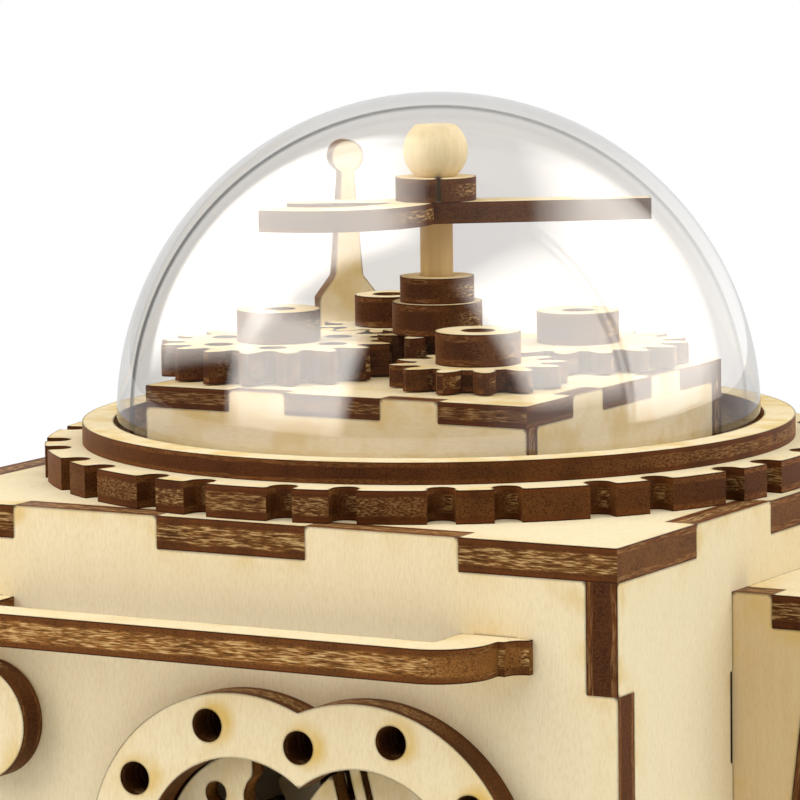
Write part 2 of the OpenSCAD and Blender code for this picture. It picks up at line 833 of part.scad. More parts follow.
module right_eye() {
    color(cream) translate([right_eye_x, 0, eye_z]) across(right_eye_y, thin_ply) difference() {
        circle(eye_r);
        translate([-eye_gap, 0]) circle(0.62*eye_r);
        eye_slot(-0.45*eye_r, 0.58*eye_r, 0.185*eye_r);
        eye_slot(-0.21*eye_r, 0.6*eye_r, 0.065*eye_r);
        circle(shaft_d/2 + seat_fit);
    }
}

module eye_spindle(x, front, phase) {
    color(tan_ply) translate([x, 0, eye_z]) {
        across(eye_gear_y, ply) rotate(phase) polygon(gear_points(eye_teeth, case_module));
        translate([0, front, 0]) rotate([-90, 0, 0])
            cylinder(r = shaft_d/2, h = frame_y + ply + 1 - front);
    }
}

module left_eye_spindle() { eye_spindle(left_eye_x, left_eye_y, eye_phase); }
module right_eye_spindle() { eye_spindle(right_eye_x, right_eye_y, right_eye_phase); }

// Selector knob and its brake arm
module selector_knob() {
    color(cream) translate([-knob_side, 0, knob_z]) {
        across(-half - side_gap - ply, ply) circle(knob_r);
        translate([0, -half - side_gap - ply/2, 0]) rotate([-90, 0, 0])
            cylinder(r = shaft_d/2, h = frame_y + ply + 1 + half + side_gap + ply/2);
    }
}

module brake_arm() {
    arm_half = 3;
    color(tan_ply) translate([-knob_side, 0, knob_z]) across(eye_gear_y, ply) difference() {
        union() {
            circle(arm_half);
            translate([-arm_half/2, -brake_l]) square([arm_half, brake_l]);
        }
        circle(shaft_d/2 + seat_fit);
    }
}

// Music movement
module cylinder_drum() {
    tracks = 12;
    hits = 4;
    color(brass) translate([cylinder_at[0], 0, cylinder_at[1]]) {
        across(-cylinder_l/2, cylinder_l) washer(cylinder_r, shaft_d/2 + seat_fit);
        for (t = [0:tracks - 1], h = [0:hits - 1])
            translate([0, -comb_w/2 + (t + 0.5)*comb_w/tracks, 0])
                rotate([0, 11 + 137*t + 90*h + 23*t*h, 0]) translate([0, 0, cylinder_r - pin_l])
                    cylinder(r = pin_r, h = 2*pin_l);
    }
}

module cylinder_axle() {
    front = -cheek_y - cheek_t - 0.5;
    color(steel) translate([cylinder_at[0], front, cylinder_at[1]]) rotate([-90, 0, 0])
        cylinder(r = shaft_d/2, h = wheel_y + wheel_t + 0.5 - front);
}

module cylinder_wheel() {
    color(brass) translate([cylinder_at[0], 0, cylinder_at[1]]) across(wheel_y, wheel_t)
        gear(wheel_teeth, case_module, wheel_phase, shaft_d/2 + seat_fit);
}

module movement_bed() {
    color(steel) difference() {
        union() {
            translate([bed_left, -bed_half, ply]) cube([bed_right - bed_left, 2*bed_half, bed_t]);
            for (y = [-cheek_y - cheek_t, cheek_y])
                translate([cylinder_at[0] - cheek_half, y, bed_z])
                    cube([2*cheek_half, cheek_t, cylinder_at[1] + cheek_cap - bed_z]);
            translate([comb_end_x - comb_back, -comb_w/2, bed_z]) cube([comb_back, comb_w, comb_z - bed_z]);
        }
        translate([cylinder_at[0], -bed_half, cylinder_at[1]]) rotate([-90, 0, 0])
            cylinder(r = shaft_d/2 + running_fit, h = 2*bed_half);
        for (p = bed_screw_at) translate([p[0], p[1], ply - 1])
            cylinder(r = screw_r + seat_fit, h = bed_t + 2);
        for (p = comb_screw_at) translate([p[0], p[1], comb_z + comb_t - screw_l - seat_fit])
            cylinder(r = screw_r + seat_fit, h = screw_l + 1);
    }
}

module comb() {
    pitch = comb_w/comb_teeth;
    color(steel) flat(comb_z, comb_t) difference() {
        translate([comb_tip_x, -comb_w/2]) square([comb_tooth_l + comb_back, comb_w]);
        for (k = [1:comb_teeth - 1])
            translate([comb_tip_x - 1, -comb_w/2 + k*pitch - comb_slot/2])
                square([1 + comb_tooth_l*(1 - 0.4*k/comb_teeth), comb_slot]);
        for (p = comb_screw_at) translate(p) circle(screw_r + seat_fit);
    }
}

module screw(seat) {
    translate([0, 0, seat]) cylinder(r = screw_head_r, h = screw_head_t);
    translate([0, 0, seat - screw_l]) cylinder(r = screw_r, h = screw_l);
}

module movement_screws() {
    color(brass) {
        for (p = bed_screw_at) translate([p[0], p[1], 0]) screw(bed_z);
        for (p = comb_screw_at) translate([p[0], p[1], 0]) screw(comb_z + comb_t);
    }
}

// Places shared by several pieces
finial_tab = finial_half*0.6;
platform_tab_x = platform_w/2 - platform_corner - platform_finger/2;
gear_centres = [left_at, front_at, right_at, rear_at];
gear_sheets = [ply, thin_ply, thin_ply, ply];
bed_screw_at = [for (x = [bed_left + screw_inset, bed_right - screw_inset], s = [-1, 1])
    [x, s*(bed_half - screw_inset)]];
comb_screw_at = [for (s = [-1, 1]) [comb_end_x - comb_back/2 + 0.5, s*comb_w/4]];

front_panel();
rear_panel();
left_panel();
right_panel();
roof_plate();
floor_plate();
inner_frame();
brow_bar();
goggle_frame();
ear_right_top();
ear_right_sides();
ear_right_outer();
ear_right_bottom();
ear_left_top();
ear_left_sides();
ear_left_outer();
ear_left_bottom();
ring_gear();
flange_ring();
dome();
platform_top();
platform_long_walls();
platform_short_walls();
gear_pins();
left_gear();
left_collar();
front_gear();
front_collar();
right_gear();
right_collar();
rear_gear();
rear_collar();
rotor_shaft();
friction_disc();
centre_pinion();
lower_collar();
upper_collar();
fan();
split_clip();
bead();
finial();
crank_shaft();
crank_arm();
crank_pin();
crank_handle();
crank_gear();
eye_drive_gear();
drive_wheel();
left_eye();
left_eye_spindle();
right_eye();
right_eye_spindle();
selector_knob();
brake_arm();
cylinder_drum();
cylinder_axle();
cylinder_wheel();
movement_bed();
comb();
movement_screws();
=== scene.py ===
# %% [markdown]
# # A plywood music box with a gear dome
# The real object is a laser-cut toy: flat sheets of pale plywood, held by finger joints, with brown burnt
# edges wherever the laser went. A clear dome covers a small gear train on the roof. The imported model
# gives every sheet its exact place, so this lesson spends its time on finishes, light and the turned or
# moulded pieces.

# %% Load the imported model
import math

import bpy
from mathutils import Matrix, Vector


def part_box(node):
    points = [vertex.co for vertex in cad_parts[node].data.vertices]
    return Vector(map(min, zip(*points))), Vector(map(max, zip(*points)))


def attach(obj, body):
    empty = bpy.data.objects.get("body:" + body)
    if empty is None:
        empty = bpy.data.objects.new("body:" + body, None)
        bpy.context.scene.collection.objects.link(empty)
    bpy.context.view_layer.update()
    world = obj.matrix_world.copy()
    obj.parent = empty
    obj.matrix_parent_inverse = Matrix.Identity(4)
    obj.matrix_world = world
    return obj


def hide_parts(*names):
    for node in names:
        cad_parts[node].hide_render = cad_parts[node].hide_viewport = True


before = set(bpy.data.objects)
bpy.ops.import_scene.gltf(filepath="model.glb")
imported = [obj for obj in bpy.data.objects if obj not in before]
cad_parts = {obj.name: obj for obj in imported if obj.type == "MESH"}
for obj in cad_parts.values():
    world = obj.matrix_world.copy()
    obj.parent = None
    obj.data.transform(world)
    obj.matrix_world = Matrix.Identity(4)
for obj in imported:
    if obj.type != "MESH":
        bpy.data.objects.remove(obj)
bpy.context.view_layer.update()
MM = 0.001

# %% [markdown]
# ## Camera
# The photograph is a close view with a long lens, from the front and a little to the right. The lens and
# the place below were solved from the corners of the roof and the finger joints. A camera looks along its
# own -Z, so its axes are built from yaw, pitch and roll and handed over as a matrix.

# %% Place the camera
VIEW_YAW, VIEW_PITCH, VIEW_ROLL = 0.513969, 0.124073, -0.013028
VIEW_FROM = Vector((0.220227, -0.397459, 0.125031))
LENS_MM, SENSOR_MM = 218.0, 36.0

forward = Vector((
    -math.sin(VIEW_YAW) * math.cos(VIEW_PITCH),
    math.cos(VIEW_YAW) * math.cos(VIEW_PITCH),
    -math.sin(VIEW_PITCH),
))
level_right = Vector((math.cos(VIEW_YAW), math.sin(VIEW_YAW), 0.0))
level_up = level_right.cross(forward)
right = math.cos(VIEW_ROLL) * level_right + math.sin(VIEW_ROLL) * level_up
up = math.cos(VIEW_ROLL) * level_up - math.sin(VIEW_ROLL) * level_right
camera_axes = Matrix((right, up, -forward)).transposed().to_4x4()

bpy.ops.object.select_all(action="DESELECT")
bpy.ops.object.camera_add()
camera = bpy.context.object
camera.name = "photo_camera"
camera.data.lens = LENS_MM
camera.data.sensor_width = SENSOR_MM
camera.matrix_world = Matrix.Translation(VIEW_FROM) @ camera_axes
bpy.context.scene.camera = camera
print("camera at", [round(v, 3) for v in VIEW_FROM])

# %% [markdown]
# ## Node helpers
# Every finish here is a small network of shader nodes. A few helpers keep the cells short: one adds a
# node and sets its values, one does a sum, one turns a range of numbers into another, one mixes two
# colours, one makes noise that is stretched along an axis and one measures how far a place or a normal
# points along a direction.

# %% Helpers for shader nodes
def add_node(tree, kind, inputs=None, **settings):
    made = tree.nodes.new(kind)
    for key, value in settings.items():
        setattr(made, key, value)
    for key, value in (inputs or {}).items():
        if isinstance(value, bpy.types.NodeSocket):
            tree.links.new(value, made.inputs[key])
        else:
            made.inputs[key].default_value = value
    return made


def sums(tree, operation, *values):
    return add_node(tree, "ShaderNodeMath", dict(enumerate(values)), operation=operation).outputs[0]


def spread(tree, value, low, high, to_low=0.0, to_high=1.0):
    ends = {"Value": value, "From Min": low, "From Max": high, "To Min": to_low, "To Max": to_high}
    return add_node(tree, "ShaderNodeMapRange", ends).outputs[0]


def dot(tree, first, second):
    both = {0: first, 1: second}
    return add_node(tree, "ShaderNodeVectorMath", both, operation="DOT_PRODUCT").outputs["Value"]


print("helpers for sums ready")

# %% Helpers for colours and patterns
def mix_colours(tree, share, first, second):
    mixer = add_node(tree, "ShaderNodeMix", {"Factor": share}, data_type="RGBA")
    for key, value in (("A", first), ("B", second)):
        socket = [s for s in mixer.inputs if s.name == key and s.type == "RGBA"][0]
        if isinstance(value, bpy.types.NodeSocket):
            tree.links.new(value, socket)
        else:
            socket.default_value = value
    return [s for s in mixer.outputs if s.type == "RGBA"][0]


def noise(tree, place, stretch, detail=3.0, rough=0.55):
    scaled = add_node(tree, "ShaderNodeMapping", {"Vector": place, "Scale": stretch})
    ends = {"Vector": scaled.outputs[0], "Scale": 1.0, "Detail": detail, "Roughness": rough}
    return add_node(tree, "ShaderNodeTexNoise", ends).outputs["Fac"]


def paint(red, green, blue):
    """A colour given as on screen, turned into the linear values that shaders use."""
    steps = [v / 255 for v in (red, green, blue)]
    return [v / 12.92 if v < 0.04045 else ((v + 0.055) / 1.055) ** 2.4 for v in steps] + [1.0]


def new_finish(name):
    finish = bpy.data.materials.new(name)
    finish.use_nodes = True
    return finish, finish.node_tree, finish.node_tree.nodes["Principled BSDF"]


def roughen(tree, shader, height, strength, distance):
    ends = {"Height": height, "Strength": strength, "Distance": distance}
    bump = add_node(tree, "ShaderNodeBump", ends)
    tree.links.new(bump.outputs["Normal"], shader.inputs["Normal"])


print("helpers for colours ready")

# %% [markdown]
# ## Plywood
# A laser-cut sheet has two kinds of surface. Its faces are pale basswood with fine grain. Its cut edges
# are burnt. The normal in object space tells the two apart: along the sheet's thickness it is a face,
# across it is an edge. A texture drawn in the sheet's own directions works for every sheet, however it
# stands, so the place is first turned into steps along the fibres, across them and through the sheet.

# %% Coordinates of a sheet
AXES = {"x": Vector((1, 0, 0)), "y": Vector((0, 1, 0)), "z": Vector((0, 0, 1))}
PATCHES = (260.0, 260.0, 260.0)


def sheet_coordinates(tree, across, middle, thick, grain, paired):
    where = add_node(tree, "ShaderNodeTexCoord")
    place, facing = where.outputs["Object"], where.outputs["Normal"]
    side = across.cross(grain)
    through = dot(tree, place, across)
    steps = {"X": dot(tree, place, grain), "Y": dot(tree, place, side), "Z": through}
    depth = sums(tree, "ABSOLUTE", through) if paired else through
    from_middle = sums(tree, "SUBTRACT", depth, middle)
    return {
        "place": place,
        "sheet": add_node(tree, "ShaderNodeCombineXYZ", steps).outputs[0],
        "layer": sums(tree, "ABSOLUTE", sums(tree, "DIVIDE", from_middle, thick / 2)),
        "is_face": spread(tree, sums(tree, "ABSOLUTE", dot(tree, facing, across)), 0.6, 0.9),
        "ends": sums(tree, "ABSOLUTE", dot(tree, facing, grain)),
        "sides": sums(tree, "ABSOLUTE", dot(tree, facing, side)),
        "patch": noise(tree, place, PATCHES, 2.0),
    }


print("sheets are measured along", ", ".join(AXES))

# %% [markdown]
# A face shows long soft streaks, fine fibres and a few short pores. Each is noise that is stretched along
# the grain. The numbers are repeats in a metre, so 5200 across the grain is a fibre about a fifth of a
# millimetre wide.

# %% Faces of a sheet
CREAM, STRAW, PORE = paint(241, 224, 186), paint(233, 212, 170), paint(206, 179, 130)
STREAKS, FINE_FIBRES, PORES = (90.0, 700.0, 700.0), (1300.0, 5200.0, 5200.0), (1100.0, 6500.0, 6500.0)
STRAW_SHARE, FIBRE_SHARE, PORE_SHARE = 0.38, 0.3, 0.16


def face_colours(tree, at):
    streak = noise(tree, at["sheet"], STREAKS, 4.0)
    fine = noise(tree, at["sheet"], FINE_FIBRES, 2.0)
    pore = noise(tree, at["sheet"], PORES, 1.0)
    face = mix_colours(tree, spread(tree, streak, 0.3, 0.75, 0.0, STRAW_SHARE), CREAM, STRAW)
    face = mix_colours(tree, spread(tree, fine, 0.42, 0.78, 0.0, FIBRE_SHARE), face, PORE)
    face = mix_colours(tree, spread(tree, pore, 0.64, 0.74, 0.0, PORE_SHARE), face, PORE)
    return face, streak, fine


print("face repeats in a metre:", STREAKS, FINE_FIBRES, PORES)

# %% [markdown]
# Three layers make the sheet. The fibres of the core run across those of the two veneers, so on any edge
# one of them shows long golden fibres and the other shows dark fibre ends. The golden flecks on the long
# fibres are partly the fibres' own colour and partly a painted sheen. The veneers are rusty brown, and the
# last bit of an edge below a face is black.

# %% Cut edges of a sheet
FIBRE_END, FIBRE_SIDE, TOAST = paint(78, 42, 18), paint(104, 64, 30), paint(176, 118, 56)
CHAR, FLECK_AND_SHEEN, RUST = paint(36, 18, 8), paint(218, 184, 124), paint(106, 56, 23)
VENEER_LINES, CORE_LINES = (720.0, 7600.0, 8200.0), (7600.0, 720.0, 8200.0)
VENEER_TOAST, VENEER_FLECKS = 0.4, 0.25


def edge_colours(tree, at, toast_and_painted_light, fibres):
    patch, layer = at["patch"], at["layer"]
    wavy = sums(tree, "ADD", layer, spread(tree, patch, 0.3, 0.7, -0.1, 0.1))
    is_core = spread(tree, wavy, 0.64, 0.5)
    long_side = spread(tree, is_core, 0.0, 1.0, at["sides"], at["ends"])
    veneer_lines = noise(tree, at["sheet"], VENEER_LINES, 2.0, 0.6)
    core_lines = noise(tree, at["sheet"], CORE_LINES, 2.0, 0.6)
    lines = spread(tree, is_core, 0.0, 1.0, veneer_lines, core_lines)

    edge = mix_colours(tree, spread(tree, long_side, 0.3, 0.9), FIBRE_END, FIBRE_SIDE)
    # golden tone on the edges; on the eyes it is painted light that lifts their shaded edges
    edge = mix_colours(tree, spread(tree, is_core, 0.0, 1.0, VENEER_TOAST * toast_and_painted_light, toast_and_painted_light), edge, TOAST)
    edge = mix_colours(tree, spread(tree, lines, 0.5, 0.36, 0.0, 0.7), edge, CHAR)
    edge = mix_colours(tree, spread(tree, patch, 0.45, 0.7, 0.0, 0.35), edge, CHAR)
    in_patches = spread(tree, patch, 0.65, 0.4, 0.1, 0.65)
    edge = mix_colours(tree, sums(tree, "MULTIPLY", spread(tree, wavy, 0.6, 0.85), in_patches), edge, RUST)
    # golden flecks: partly the long fibres' own colour, partly a painted sheen
    on_long_side = spread(tree, long_side, 0.85, 0.99, 0.04, 0.8)
    fleck_and_sheen = sums(tree, "MULTIPLY", spread(tree, lines, 0.5, 0.66), on_long_side)
    by_layer = spread(tree, is_core, 0.0, 1.0, VENEER_FLECKS * fibres, fibres)
    edge = mix_colours(tree, sums(tree, "MULTIPLY", fleck_and_sheen, by_layer), edge, FLECK_AND_SHEEN)
    edge = mix_colours(tree, spread(tree, layer, 0.9, 0.96, 0.0, 0.85), edge, CHAR)
    return edge, lines


print("edge repeats in a metre:", VENEER_LINES, CORE_LINES)

# %% [markdown]
# Close to a cut the face is scorched: a thin dark line, then a yellow halo that comes and goes. An
# ambient occlusion node that looks inside the sheet finds the cut. Smoke leaves a yellow patch beside a
# small hole. The faces of a tab are painted black where they stand inside their slot: that is painted
# shade, as the slot is a deep narrow gap.

# %% Scorch on a face
SCORCH, HALO, STAIN = paint(50, 27, 13), paint(216, 178, 90), paint(196, 158, 92)
LINE_REACH, HALO_REACH = 0.5 * MM, 3.0 * MM
SMOKE_FULL, SMOKE_ENDS = 1.3 * MM, 2.5 * MM
SLOT_SHADE_BLUR = 0.05 * MM


def near_cut(tree, reach, samples):
    ends = {"Distance": reach}
    made = add_node(tree, "ShaderNodeAmbientOcclusion", ends, samples=samples, inside=True, only_local=True)
    return made.outputs["AO"]


def scorch(tree, at, face, streak, singe, stain, smoke, slot_shade):
    place, patch = at["place"], at["patch"]
    face = mix_colours(tree, spread(tree, streak, 0.2, 0.8, 0.7 * stain, stain), face, STAIN)
    wide = spread(tree, near_cut(tree, HALO_REACH, 4), 0.85, 0.5)
    halo = sums(tree, "MULTIPLY", wide, spread(tree, patch, 0.45, 0.65, *singe))
    face = mix_colours(tree, halo, face, HALO)
    for spot in smoke:
        apart = {0: place, 1: spot}
        off = add_node(tree, "ShaderNodeVectorMath", apart, operation="DISTANCE").outputs["Value"]
        drift = spread(tree, off, SMOKE_ENDS, SMOKE_FULL)
        drift = sums(tree, "MULTIPLY", drift, spread(tree, patch, 0.3, 0.6, 0.4, 0.85))
        face = mix_colours(tree, drift, face, HALO)
    # painted shade: the faces of a tab are darkened to char where they stand inside a slot
    if slot_shade:
        direction, limit = slot_shade
        painted_slot_shade = spread(tree, dot(tree, place, direction), limit + SLOT_SHADE_BLUR, limit - SLOT_SHADE_BLUR)
        face = mix_colours(tree, painted_slot_shade, face, CHAR)
    close = spread(tree, near_cut(tree, LINE_REACH, 6), 0.62, 0.54, 0.0, 0.9)
    return mix_colours(tree, close, face, SCORCH)


print("scorch reaches mm:", LINE_REACH / MM, HALO_REACH / MM)

# %% [markdown]
# The finish joins these. Raw plywood hardly shines, so its specular level is low all over, and a slight
# bump follows the fibres.

# %% Plywood finish
PLY_GLOSS = 0.05
EDGE_ROUGH, FACE_ROUGH = 0.5, 0.75
FACE_BUMP = 0.5


def plywood(name, across, middle, thick, grain, paired=False, singe=(0.1, 0.6), toast_and_painted_light=0.0, stain=0.0,
            fibres=0.85, smoke=(), slot_shade=None):
    """across: the sheet's thickness direction; middle: its mid-plane along it.
    grain: direction of the veneers' fibres; paired: two sheets that stand mirrored.
    singe: the halo's least and most share; toast: golden tone on the edges, on the eyes painted light;
    fibres: golden flecks on the edges, partly the fibres' colour and partly a painted sheen.
    smoke: places that smoke has yellowed; soot: a direction and how far along it the faces are painted dark
    as shade inside a slot."""
    finish, tree, shader = new_finish(name)
    at = sheet_coordinates(tree, across, middle, thick, grain, paired)
    face, streak, fine = face_colours(tree, at)
    edge, lines = edge_colours(tree, at, toast_and_painted_light, fibres)
    face = scorch(tree, at, face, streak, singe, stain, smoke, slot_shade)
    is_face = at["is_face"]
    tree.links.new(mix_colours(tree, is_face, edge, face), shader.inputs["Base Color"])
    rough = spread(tree, is_face, 0.0, 1.0, EDGE_ROUGH, FACE_ROUGH)
    tree.links.new(rough, shader.inputs["Roughness"])
    shader.inputs["Specular IOR Level"].default_value = PLY_GLOSS
    rise = spread(tree, is_face, 0.0, 1.0, lines, sums(tree, "MULTIPLY", fine, FACE_BUMP))
    roughen(tree, shader, rise, 0.25, 0.05 * MM)
    return finish


print("plywood finish ready")

# %% [markdown]
# ## Smoke at the goggles
# The frame of the goggles has a ring of small holes: one at the top between its two lobes and five more
# round each lobe. Smoke from cutting was drawn off to their right. The places follow from the frame's own
# box.

# %% Find the small holes
HOLES_INSIDE_EDGE, HOLE_STEP, HOLES_PER_LOBE = 2.75 * MM, math.radians(42.7), 5
SMOKE_DRIFT = Vector((0.8, 0, 0.3)) * MM

low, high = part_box("goggle_frame")
lobe_r = (high.z - low.z) / 2
lobe_off = (high.x - low.x) / 2 - lobe_r
hole_ring = lobe_r - HOLES_INSIDE_EDGE
first_angle = math.acos(-lobe_off / hole_ring)
goggle_middle = Vector(((low.x + high.x) / 2, low.y, (low.z + high.z) / 2))
holes = [goggle_middle + Vector((0, 0, hole_ring * math.sin(first_angle)))]
for lobe in (-1, 1):
    for k in range(1, HOLES_PER_LOBE + 1):
        angle = first_angle - k * HOLE_STEP
        sideways = lobe * (lobe_off + hole_ring * math.cos(angle))
        holes.append(goggle_middle + Vector((sideways, 0, hole_ring * math.sin(angle))))
smoke_spots = [hole + SMOKE_DRIFT for hole in holes]
print("goggle holes:", len(holes))

# %% [markdown]
# ## Which sheet lies which way
# Each node is one sheet or a pair of equal sheets. The table gives the direction of its thickness and of
# its grain. The middle and the thickness are then measured from the node's own box. A few sheets were cut
# more slowly or from other stock, so their edges are lighter or show fewer fibres. The eyes' lighter edges
# are painted light instead: they lift the shade in the recess behind the goggles.

# %% Give every sheet its plywood
SHEETS = {
    "z": ("roof_plate", "floor_plate", "brow_bar", "ear_right_top", "ear_left_top", "ear_right_bottom",
          "ear_left_bottom", "ring_gear", "flange_ring", "platform_top", "left_gear", "left_collar",
          "front_gear", "front_collar", "right_gear", "right_collar", "rear_gear", "rear_collar",
          "centre_pinion", "lower_collar", "upper_collar", "fan", "split_clip", "friction_disc"),
    "y": ("front_panel", "rear_panel", "inner_frame", "goggle_frame", "left_eye", "right_eye", "crank_arm",
          "crank_gear", "eye_drive_gear", "drive_wheel", "brake_arm"),
    "x": ("left_panel", "right_panel"),
}
GRAIN = {"z": AXES["x"], "y": AXES["z"], "x": AXES["z"]}
CROSS_CUT = ("roof_plate", "platform_top", "ear_right_top", "ear_left_top", "brow_bar", "ring_gear")
SPECIAL = {
    "goggle_frame": {"singe": (0.05, 0.3), "smoke": smoke_spots},
    # painted light: the eyes' lighter edges stand in for light in the shaded goggle recess
    "left_eye": {"toast_and_painted_light": 0.7},
    "right_eye": {"toast_and_painted_light": 0.7},
    "brow_bar": {"toast_and_painted_light": 0.5, "fibres": 1.0},
    "roof_plate": {"toast_and_painted_light": 0.15},
    "flange_ring": {"fibres": 0.25},
    "ring_gear": {"fibres": 0.5},
    "platform_top": {"fibres": 0.4},
}


def dress(node, finish):
    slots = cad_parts[node].data.materials
    slots.clear()
    slots.append(finish)


dressed = []
for axis, nodes in SHEETS.items():
    index = "xyz".index(axis)
    for node in nodes:
        low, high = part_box(node)
        middle, thick = (low[index] + high[index]) / 2, high[index] - low[index]
        grain = AXES["y"] if node in CROSS_CUT else GRAIN[axis]
        dress(node, plywood("ply_" + node, AXES[axis], middle, thick, grain, **SPECIAL.get(node, {})))
        dressed.append(node)
print("sheets dressed:", len(dressed))

# %% [markdown]
# Some nodes hold two sheets that stand mirrored, so one finish takes its depth from either side. The sides
# of the ears are stained darker and yellower, partly their own tone and partly painted shade, and they are
# painted black inside the slots of the case as painted shade.

# %% Pairs of sheets
THICK, THIN = 3.0 * MM, 2.0 * MM
# darker, yellower stain on the ear sides: partly their own tone, partly painted shade
EAR_TONE_AND_SHADE = 0.55
PAIRS = {
    "ear_right_sides": ("y", THICK, "z"),
    "ear_left_sides": ("y", THICK, "z"),
    "platform_long_walls": ("y", THIN, "x"),
    "platform_short_walls": ("x", THIN, "y"),
}
for node, (axis, thick, grain) in PAIRS.items():
    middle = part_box(node)[1]["xyz".index(axis)] - thick / 2
    extra = {}
    if node.startswith("ear"):
        outwards = AXES["x"] if "right" in node else -AXES["x"]
        # the stain is partly tone and partly painted shade; the soot setting paints the faces black inside
        # the slots as painted shade
        extra = {"stain": EAR_TONE_AND_SHADE, "slot_shade": (outwards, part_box("right_panel")[1].x)}
    dress(node, plywood("ply_" + node, AXES[axis], middle, thick, AXES[grain], paired=True, **extra))
    dressed.append(node)
print("pairs dressed:", list(PAIRS))

# %% [markdown]
# The outer plates of the ears lean and the finial stands across a corner, so their thickness runs along a
# slanted direction. The knob and the eyes' spindles are a sheet on a rod: the finish follows the sheet.

# %% Leaning sheets and sheets on rods
EAR_LEAN = math.radians(6.9)
SPINDLE_GEAR_Y = -25.8 * MM
for node, side in (("ear_right_outer", 1), ("ear_left_outer", -1)):
    low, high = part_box(node)
    across = Vector((side * math.cos(EAR_LEAN), 0, -math.sin(EAR_LEAN)))
    outer_top = Vector((high.x if side > 0 else low.x, 0, high.z))
    dress(node, plywood("ply_" + node, across, across.dot(outer_top) - THICK / 2, THICK, AXES["z"]))
    dressed.append(node)

low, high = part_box("finial")
finial_across = Vector((1, -1, 0)).normalized()
finial_middle = finial_across.dot((low + high) / 2)
dress("finial", plywood("ply_finial", finial_across, finial_middle, THIN, AXES["z"]))
dressed.append("finial")

knob_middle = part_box("selector_knob")[0].y + THICK / 2
on_rods = {
    "left_eye_spindle": SPINDLE_GEAR_Y,
    "right_eye_spindle": SPINDLE_GEAR_Y,
    "selector_knob": knob_middle,
}
for node, middle in on_rods.items():
    dress(node, plywood("ply_" + node, AXES["y"], middle, THICK, AXES["z"]))
    dressed.append(node)
print("sheets dressed:", len(dressed))

# %% [markdown]
# ## Turned wood
# The dowel, pins, bead and handle are turned from pale hardwood, with straight grain along the axis. The
# dowel under the fan is painted darker, as painted shade. The handle's grooves are burnt in by friction,
# so the finish takes a list of places for dark rings.

# %% Hardwood finish
PALE, DEEP, LATE_WOOD = paint(238, 219, 176), paint(226, 202, 152), paint(190, 154, 98)
# darker colours for the dowel under the fan: painted shade
DOWEL_PAINTED_SHADE_PALE, DOWEL_PAINTED_SHADE_DEEP = paint(204, 172, 116), paint(184, 148, 92)
RING_FULL, RING_ENDS, RING_SHARE = 0.15 * MM, 0.35 * MM, 0.85


def along_grain(grain, along, across):
    return [along if abs(v) > 0.5 else across for v in grain]


def hardwood(name, grain, rings=(), pale=PALE, deep=DEEP):
    finish, tree, shader = new_finish(name)
    place = add_node(tree, "ShaderNodeTexCoord").outputs["Object"]
    streak = noise(tree, place, along_grain(grain, 90.0, 1400.0), 4.0)
    fine = noise(tree, place, along_grain(grain, 300.0, 6000.0), 2.0)
    colour = mix_colours(tree, spread(tree, streak, 0.3, 0.75), pale, deep)
    colour = mix_colours(tree, spread(tree, fine, 0.5, 0.85, 0.0, 0.3), colour, LATE_WOOD)
    for ring in rings:
        off = sums(tree, "ABSOLUTE", sums(tree, "SUBTRACT", dot(tree, place, grain), ring))
        colour = mix_colours(tree, spread(tree, off, RING_ENDS, RING_FULL, 0.0, RING_SHARE), colour, RUST)
    tree.links.new(colour, shader.inputs["Base Color"])
    tree.links.new(spread(tree, fine, 0.2, 0.8, 0.5, 0.7), shader.inputs["Roughness"])
    roughen(tree, shader, fine, 0.3, 0.05 * MM)
    return finish


for node in ("gear_pins", "bead"):
    dress(node, hardwood("dowel_" + node, AXES["z"]))
# painted shade: the dowel under the fan takes the darker colours
dress("rotor_shaft", hardwood("shade_painted_dowel", AXES["z"], pale=DOWEL_PAINTED_SHADE_PALE, deep=DOWEL_PAINTED_SHADE_DEEP))
print("turned nodes: gear_pins, bead, rotor_shaft")

# %% [markdown]
# ## Metal
# The movement and the shafts are plain steel and brass. Brushed lines come from noise that is stretched
# along the direction of the tool, and a slow stain keeps the colour from being even.

# %% Steel and brass
STEEL_LIGHT, STEEL_DARK = paint(205, 206, 208), paint(150, 151, 154)
BRASS_LIGHT, BRASS_DARK = paint(214, 180, 98), paint(160, 122, 56)
STAINS = (120.0, 120.0, 120.0)


def brushed(name, light, dark, lines):
    finish, tree, shader = new_finish(name)
    shader.inputs["Metallic"].default_value = 1.0
    place = add_node(tree, "ShaderNodeTexCoord").outputs["Object"]
    scratch = noise(tree, place, lines, 3.0)
    stain = noise(tree, place, STAINS, 3.0)
    colour = mix_colours(tree, spread(tree, scratch, 0.3, 0.7), light, dark)
    colour = mix_colours(tree, spread(tree, stain, 0.55, 0.75, 0.0, 0.4), colour, dark)
    tree.links.new(colour, shader.inputs["Base Color"])
    tree.links.new(spread(tree, scratch, 0.2, 0.8, 0.25, 0.45), shader.inputs["Roughness"])
    roughen(tree, shader, scratch, 0.15, 0.02 * MM)
    return finish


METALS = (
    ("ground_steel", STEEL_LIGHT, STEEL_DARK, (700.0, 5000.0, 5000.0), ("movement_bed", "comb")),
    ("drawn_rod", STEEL_LIGHT, STEEL_DARK, (5000.0, 300.0, 5000.0),
     ("crank_shaft", "crank_pin", "cylinder_axle")),
    ("turned_brass", BRASS_LIGHT, BRASS_DARK, (2500.0, 6000.0, 2500.0),
     ("cylinder_drum", "cylinder_wheel", "movement_screws")),
)
for name, light, dark, lines, nodes in METALS:
    metal = brushed(name, light, dark, lines)
    for node in nodes:
        dress(node, metal)
print("nodes without a finish:", [n for n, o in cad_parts.items() if not o.data.materials])

